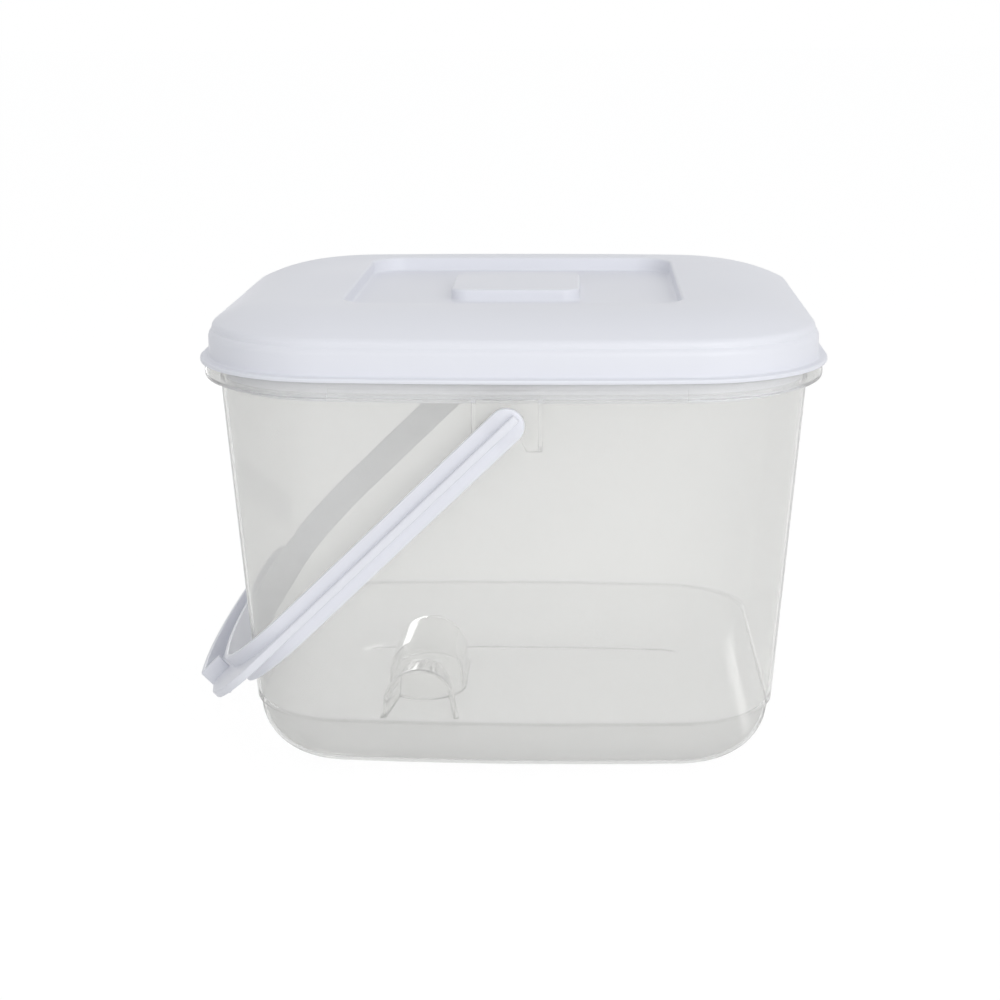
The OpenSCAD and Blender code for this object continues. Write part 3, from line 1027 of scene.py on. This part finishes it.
@dataclass
class Lid:
    """The white lid: edge, plug, band, dome, stacking pocket and pad, in millimetres."""

    plan: PlanLoop
    sweep: SectionSweep
    rim_top: float = 204.7
    top: float = 233.4
    wall: float = 2.0
    reach: float = 21.8
    flange: float = 2.1
    plug_in: float = 7.6
    plug_out: float = 9.4
    plug_drop: float = 11.4
    band_centre: Point = (12.4, 216.3)
    band_radius: float = 5.0
    shoulder_radius: float = 4.0
    shoulder_x: float = 11.65
    dome_edge: float = -26.0
    dome_radius: float = 90.0
    pocket_depth: float = 7.5
    pocket: PlanLoop = PlanLoop(65.0, 66.0, 18.0)
    pad: PlanLoop = PlanLoop(24.0, 23.5, 9.0)
    pad_setback: float = 1.2
    soft: float = 1.4
    floor_hold: float = 2.0
    pad_hold: float = 1.0
    band_root: float = 1.0
    edge_round: float = 0.7
    rim_round: float = 0.5
    crease_round: float = 0.4

    def section(self) -> list[Point]:
        """Works out the section from the flat of the top, round the edge, to the flat's underside.

        Returns:
            The points as outward offset from the plan and height.
        """
        ledge, foot = self.rim_top + self.flange, self.rim_top - self.plug_drop
        band = self.band_centre[0] + self.band_radius
        return rounded(
            [
                *self._skin(0.0),
                Corner(band, ledge, self.band_root),
                Corner(self.reach, ledge, self.edge_round),
                Corner(self.reach, self.rim_top, self.rim_round),
                Corner(self.plug_out, self.rim_top, self.rim_round),
                Corner(self.plug_out, foot, self.edge_round),
                Corner(self.plug_in, foot, self.edge_round),
                Corner(self.plug_in, ledge, self.crease_round),
                Corner(band - self.wall, ledge, self.crease_round),
                *self._skin(self.wall)[::-1],
            ],
            closed=False,
        )

    def _skin(self, thin: float) -> list[Corner]:
        """Works out the dome, shoulder, crease and band from the top outward.

        Args:
            thin: How far inside the lid's skin they run.

        Returns:
            The corners of that part of the section.
        """
        dome = (self.dome_edge, self.top - self.dome_radius)
        reach = self.dome_radius - self.shoulder_radius
        slope = math.asin((self.shoulder_x - self.dome_edge) / reach)
        shoulder = (self.shoulder_x, dome[1] + reach * math.cos(slope))
        meet = 90 - math.degrees(slope)
        crease = self.shoulder_x + self.shoulder_radius - self.band_centre[0]
        turn = math.degrees(math.acos((crease - thin) / (self.band_radius - thin)))
        band = arc(self.band_centre, self.band_radius - thin, turn, 0, steps=8)
        band[0] = Corner(band[0].x, band[0].y, self.crease_round)
        return [
            *arc(dome, self.dome_radius - thin, 90, meet, steps=18),
            *arc(shoulder, self.shoulder_radius - thin, meet, 0, steps=8)[1:],
            *band,
        ]

    def rings(self, under: float) -> list[list[Vector]]:
        """Works out the rings of the pocket and pad.

        Args:
            under: How far inside the lid's skin the rings run, 0 for the top and the wall for below.

        Returns:
            Rings from the pocket's edge to the middle of the pad.
        """
        skin = self.top - under
        floor = skin - self.pocket_depth
        crest = skin - self.pad_setback
        steps = np.radians(np.linspace(0, 90, 5))
        rings: list[list[Vector]] = []

        def ring(loop: PlanLoop, offset: float, height: float) -> None:
            """Adds one ring."""
            rings.append([Vector((x, y, height)) for x, y in loop.points(offset)])

        soft = self.soft
        for a in steps:
            ring(self.pocket, under + soft * (1 - math.sin(a)), skin - soft * (1 - math.cos(a)))
        for a in steps:
            ring(self.pocket, under - soft * (1 - math.cos(a)), floor + soft * (1 - math.sin(a)))
        ring(self.pocket, under - soft - self.floor_hold, floor)
        ring(self.pad, -under + soft + self.floor_hold, floor)
        for a in steps:
            ring(self.pad, -under + soft * (1 - math.sin(a)), floor + soft * (1 - math.cos(a)))
        for a in steps:
            ring(self.pad, -under - soft * (1 - math.cos(a)), crest - soft * (1 - math.sin(a)))
        ring(self.pad, -under - soft - self.pad_hold, crest)
        return rings

    def build(self, material: bpy.types.Material) -> bpy.types.Object:
        """Builds the lid.

        Args:
            material: Material of the lid.

        Returns:
            The lid, standing for its solid.
        """
        maker = MeshMaker("white_lid")
        section = self.section()
        edge = self.sweep.mesh(self.plan.points(), True, section, False, material)
        for j, under in ((0, 0.0), (len(section) - 1, self.wall)):
            outside = [p / MM for p in ring_of(edge, len(section), j)]
            maker.loft([outside, *self.rings(under)], Cap.OPEN, Cap.FILLED)
        maker.take_mesh(edge)
        made = maker.finish(material)
        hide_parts("lid")
        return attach(made, "lid")


@dataclass
class BailHandle:
    """The white carrying handle: ribbed arms, H-section bowed grip and studs, in millimetres.

    Its own frame has X away from the pivots, Y along the pivot axis and Z across the strip.
    """

    sweep: SectionSweep
    pivot_height: float = 186.3
    rest_angle: float = 44.0
    arm_face: float = 145.2
    arm_width: float = 16.8
    strip: float = 2.4
    web: float = 4.0
    rib_height: float = 5.0
    rib_start: float = -6.5
    grip_reach: float = 199.5
    grip_depth: float = 18.0
    grip_width: float = 19.0
    grip_bow: float = 480.0
    strip_corner: float = 50.0
    web_corner: float = 36.0
    flange_half: float = 104.0
    lower_cut: float = 12.0
    end_wall: float = 12.5
    boss_radius: float = 7.4
    stud_radius: float = 4.75
    head_radius: float = 6.4
    boss_start: float = 143.1
    head_span: Point = (137.3, 139.7)
    edge: float = 0.7
    edge_ease: float = 0.21
    arm_steps: int = 12
    corner_steps: int = 16
    bow_steps: int = 20
    flange_steps: int = 48

    def path(self, start: float, arm: float, corner: float, reach: float) -> list[Point]:
        """Samples a line of the bail from one arm's end to the other's.

        Args:
            start: Where the arms start, from the pivot axis.
            arm: Distance of the arms from the middle.
            corner: Radius of the corners.
            reach: Radius of the bowed grip.

        Returns:
            The points in the handle's plane.
        """
        side, middle = arm - corner, self.grip_reach - self.grip_bow
        turn = math.asin(side / (reach - corner))
        at = middle + (reach - corner) * math.cos(turn)
        half: list[Point] = []
        for k in range(self.arm_steps):
            half.append((start + (at - start) * k / self.arm_steps, -arm))
        for k in range(self.corner_steps):
            a = -math.pi / 2 + (math.pi / 2 - turn) * k / self.corner_steps
            half.append((at + corner * math.cos(a), -side + corner * math.sin(a)))
        for k in range(self.bow_steps):
            a = -turn + turn * k / self.bow_steps
            half.append((middle + reach * math.cos(a), reach * math.sin(a)))
        return [*half, (middle + reach, 0.0), *[(x, -y) for x, y in half[::-1]]]

    def bar(self, width: float, thickness: float) -> list[Point]:
        """Works out a flat bar's section with rounded edges.

        Args:
            width: Width of the bar, centred on its path.
            thickness: Thickness of the bar, from its path outward.

        Returns:
            The points as outward offset and height.
        """
        side = width / 2
        corners = [(0.0, -side), (thickness, -side), (thickness, side), (0.0, side)]
        return rounded([Corner(x, y, self.edge) for x, y in corners], closed=True)

    def flange(self, half: float, wall: float) -> list[Point]:
        """Works out the outline of the outer flange.

        Args:
            half: Half its length along the grip.
            wall: Depth of the wall turned in at each end, or the flange's thickness for none.

        Returns:
            The points in the handle's plane.
        """
        middle, far = self.grip_reach - self.grip_bow, self.grip_bow + self.grip_depth
        span = math.asin(half / far)
        inside = span - math.asin(self.strip / far)
        back = np.linspace(inside, -inside, self.flange_steps - 1)
        if wall <= self.strip:
            back = back[1:-1]
        runs = [
            (far, np.linspace(-span, span, self.flange_steps + 1)),
            (far - wall, (span, inside)),
            (far - self.strip, back),
            (far - wall, (-inside, -span)),
        ]
        return [(middle + r * math.cos(a), r * math.sin(a)) for r, angles in runs for a in angles]

    def build(self, material: bpy.types.Material) -> bpy.types.Object:
        """Builds the handle.

        Args:
            material: Material of the handle.

        Returns:
            The handle, standing for its solid.
        """
        maker = MeshMaker("white_bail_handle")
        turn = Matrix.Rotation(math.radians(180 - self.rest_angle), 4, "Y")
        rest = Matrix.Translation((0, 0, self.pivot_height)) @ turn
        rest_m = Matrix.Translation((0, 0, self.pivot_height * MM)) @ turn
        inner = self.path(0, self.arm_face, self.strip_corner, self.grip_bow)
        strip = self.sweep.mesh(inner, False, self.bar(self.arm_width, self.strip), True, material)
        maker.take_mesh(strip, rest_m)
        height, lap = self.grip_width / 2, self.web / 4
        upper = (-1, self.flange_half, self.end_wall)
        lower = (1, self.flange_half - self.lower_cut, self.strip)
        for side, half, wall in (upper, lower):
            place = rest @ Matrix.Translation((0, 0, side * (height - lap) / 2))
            maker.plate(self.flange(half, wall), height + lap, self.edge, place)
        inset = self.strip / 2
        rib_face, web_reach = self.arm_face + self.strip + self.rib_height, self.grip_bow + self.grip_depth
        far = self.path(self.rib_start, rib_face, self.web_corner, web_reach - inset)
        near = self.path(
            self.rib_start, self.arm_face + inset, self.strip_corner + inset, self.grip_bow + inset
        )
        maker.plate([*far, *near[::-1]], self.web, self.edge, rest)
        for face in Face:
            self._stud(maker, face, rest)
        made = maker.finish(material)
        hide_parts("bail_handle")
        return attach(made, "bail_handle")

    def _stud(self, maker: MeshMaker, face: Face, rest: Matrix) -> None:
        """Adds an arm's round end, spacer boss, stud and retaining head.

        Args:
            maker: Maker of the handle.
            face: Which face of the tub the arm is on.
            rest: The handle's place at rest, in millimetres.
        """
        lie = rest @ Matrix.Rotation(-face.value * math.pi / 2, 4, "X")
        end, width = self.arm_face + self.strip, self.arm_width / 2
        soft, ease = self.edge, self.edge_ease
        low, high = self.head_span
        maker.turned(
            [
                (self.head_radius - soft, low),
                (self.head_radius, low + soft),
                (self.head_radius, high - soft),
                (self.head_radius - soft, high),
                (self.stud_radius, high),
                (self.stud_radius, self.boss_start),
                (self.boss_radius, self.boss_start),
                (self.boss_radius, self.arm_face),
                (width - soft, self.arm_face),
                (width - ease, self.arm_face + ease),
                (width, self.arm_face + soft),
                (width, end - soft),
                (width - ease, end - ease),
                (width - soft, end),
            ],
            lie,
        )


@dataclass
class Scoop:
    """The loose clear scoop, in metres."""

    edge: float = 0.0005
    lift: float = 0.0003

    def build(self, material: bpy.types.Material) -> bpy.types.Object:
        """Makes the scoop from its solid's form, with its edges rounded.

        Args:
            material: Material of the scoop.

        Returns:
            The scoop, standing for its solid.
        """
        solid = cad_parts["scoop"]
        maker = MeshMaker("clear_scoop")
        maker.take_mesh(solid.data.copy(), solid.matrix_world)
        maker.soften(self.edge)
        # A hair above the floor panel, so that the two clear faces don't share a plane.
        maker.lift(self.lift)
        made = maker.finish(material)
        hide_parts("scoop")
        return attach(made, "scoop")


@dataclass(frozen=True)
class Lamp:
    """A soft rectangular lamp, in metres and watts."""

    name: str
    at: Triple
    target: Triple
    size: Point
    power: float

    def hang(self, scene: bpy.types.Scene) -> None:
        """Adds the lamp, turned to its target.

        Args:
            scene: The scene that it lights.
        """
        lamp = bpy.data.lights.new(self.name, "AREA")
        lamp.shape = "RECTANGLE"
        lamp.size, lamp.size_y = self.size
        lamp.energy = self.power
        holder = bpy.data.objects.new(self.name, lamp)
        holder.location = self.at
        aim = Vector(self.target) - Vector(self.at)
        holder.rotation_euler = aim.to_track_quat("-Z", "Y").to_euler()
        scene.collection.objects.link(holder)


LAMPS = (
    Lamp("key", at=(0.95, -1.9, 0.95), target=(0.0, 0.0, 0.12), size=(1.4, 1.4), power=18.5),
    Lamp("fill", at=(-1.5, -1.2, 0.9), target=(0.0, 0.0, 0.12), size=(1.2, 1.2), power=0.6),
    Lamp("top", at=(0.0, 0.4, 1.6), target=(0.0, 0.0, 0.2), size=(1.0, 1.0), power=0.8),
    Lamp("back", at=(-0.3, 0.95, 0.10), target=(-0.05, -0.02, 0.02), size=(0.25, 0.18), power=0.5),
)


@dataclass
class Studio:
    """White floor, soft light and the camera at the photograph's angle, in metres."""

    camera_at: Triple = (0.03445, -0.99411, 0.37391)
    yaw: float = 0.0442
    pitch: float = 0.2564
    roll: float = -0.0052
    lens: float = 68.4
    sensor: float = 36.0
    clip: Point = (0.05, 100.0)
    floor_size: float = 30.0
    floor_drop: float = 0.0002
    floor_grey: float = 0.9
    floor_glow: float = 1.06
    shadow_share: float = 0.12
    world_light: float = 0.6
    world_tint: Triple = (0.97, 0.98, 1.0)

    def build(self) -> None:
        """Makes the whole stage."""
        scene = bpy.context.scene
        scene.view_settings.view_transform = "Standard"
        self._camera(scene)
        self._world(scene)
        self._floor(scene)
        for lamp in LAMPS:
            lamp.hang(scene)

    def _camera(self, scene: bpy.types.Scene) -> None:
        """Places the camera.

        Args:
            scene: The scene that it sees.
        """
        ahead = Vector((
            -math.sin(self.yaw) * math.cos(self.pitch),
            math.cos(self.yaw) * math.cos(self.pitch),
            -math.sin(self.pitch),
        ))
        right = Vector((math.cos(self.yaw), math.sin(self.yaw), 0))
        up = right.cross(ahead)
        tilt_right = math.cos(self.roll) * right + math.sin(self.roll) * up
        tilt_up = -math.sin(self.roll) * right + math.cos(self.roll) * up
        lens = bpy.data.cameras.new("camera")
        lens.lens = self.lens
        lens.sensor_width = self.sensor
        lens.clip_start, lens.clip_end = self.clip
        camera = bpy.data.objects.new("camera", lens)
        turn = Matrix((tilt_right, tilt_up, -ahead)).transposed()
        camera.matrix_world = Matrix.Translation(self.camera_at) @ turn.to_4x4()
        scene.collection.objects.link(camera)
        scene.camera = camera

    @staticmethod
    def _seen(tree: bpy.types.NodeTree) -> bpy.types.NodeSocket:
        """Tells the rays that see a surface from those that light it.

        Args:
            tree: The tree that takes the nodes.

        Returns:
            A socket that is 1 for camera, glossy and transmission rays.
        """
        path = tree.nodes.new("ShaderNodeLightPath")
        total = path.outputs["Is Camera Ray"]
        for name in ("Is Glossy Ray", "Is Transmission Ray"):
            either = tree.nodes.new("ShaderNodeMath")
            either.operation = "MAXIMUM"
            tree.links.new(total, either.inputs[0])
            tree.links.new(path.outputs[name], either.inputs[1])
            total = either.outputs[0]
        return total

    def _world(self, scene: bpy.types.Scene) -> None:
        """Makes a world that is seen white and lights softly.

        Args:
            scene: The scene that gets it.
        """
        world = bpy.data.worlds.new("studio")
        world.use_nodes = True
        tree = world.node_tree
        tree.nodes.clear()
        node, link = tree.nodes.new, tree.links.new
        out, mix = node("ShaderNodeOutputWorld"), node("ShaderNodeMixShader")
        seen, light = node("ShaderNodeBackground"), node("ShaderNodeBackground")
        seen.inputs["Strength"].default_value = 1.0
        seen.inputs["Color"].default_value = (1, 1, 1, 1)
        light.inputs["Color"].default_value = (*self.world_tint, 1)
        light.inputs["Strength"].default_value = self.world_light
        link(self._seen(tree), mix.inputs[0])
        link(light.outputs[0], mix.inputs[1])
        link(seen.outputs[0], mix.inputs[2])
        link(mix.outputs[0], out.inputs["Surface"])
        scene.world = world

    def _floor(self, scene: bpy.types.Scene) -> None:
        """Makes the pale floor, white to the eye but for the object's soft shadow.

        Args:
            scene: The scene that gets it.
        """
        half = self.floor_size / 2
        corners = [(-half, -half, 0), (half, -half, 0), (half, half, 0), (-half, half, 0)]
        mesh = bpy.data.meshes.new("floor")
        mesh.from_pydata(corners, [], [(0, 1, 2, 3)])
        floor = bpy.data.objects.new("floor", mesh)
        floor.location.z = -self.floor_drop
        scene.collection.objects.link(floor)
        paint = bpy.data.materials.new("pale_floor")
        paint.use_nodes = True
        tree = paint.node_tree
        tree.nodes.clear()
        node, link = tree.nodes.new, tree.links.new
        out, plain = node("ShaderNodeOutputMaterial"), node("ShaderNodeBsdfDiffuse")
        seen, glow, share = node("ShaderNodeMixShader"), node("ShaderNodeEmission"), node("ShaderNodeMath")
        plain.inputs["Color"].default_value = (self.floor_grey, self.floor_grey, self.floor_grey, 1)
        glow.inputs["Strength"].default_value = self.floor_glow
        share.operation = "MULTIPLY"
        share.inputs[1].default_value = 1 - self.shadow_share
        link(self._seen(tree), share.inputs[0])
        link(share.outputs[0], seen.inputs[0])
        link(plain.outputs[0], seen.inputs[1])
        link(glow.outputs[0], seen.inputs[2])
        link(seen.outputs[0], out.inputs["Surface"])
        mesh.materials.append(paint)


def main() -> None:
    """Builds the stage and the pieces in order."""
    logging.basicConfig(level=logging.INFO, format="%(message)s")
    Studio().build()
    groups = SurfaceGroups()
    clear, gloss, white = (finish.material(groups) for finish in (CLEAR, GLOSSY, WHITE))
    sweep = SectionSweep()
    pieces = (
        Tub(BODY_PLAN, sweep).build(clear),
        Lid(BODY_PLAN, sweep).build(white),
        BailHandle(sweep).build(white),
        Scoop().build(gloss),
    )
    for piece in pieces:
        LOG.info("piece %s: %d faces", piece.name, len(piece.data.polygons))


if __name__ == "__main__":
    main()
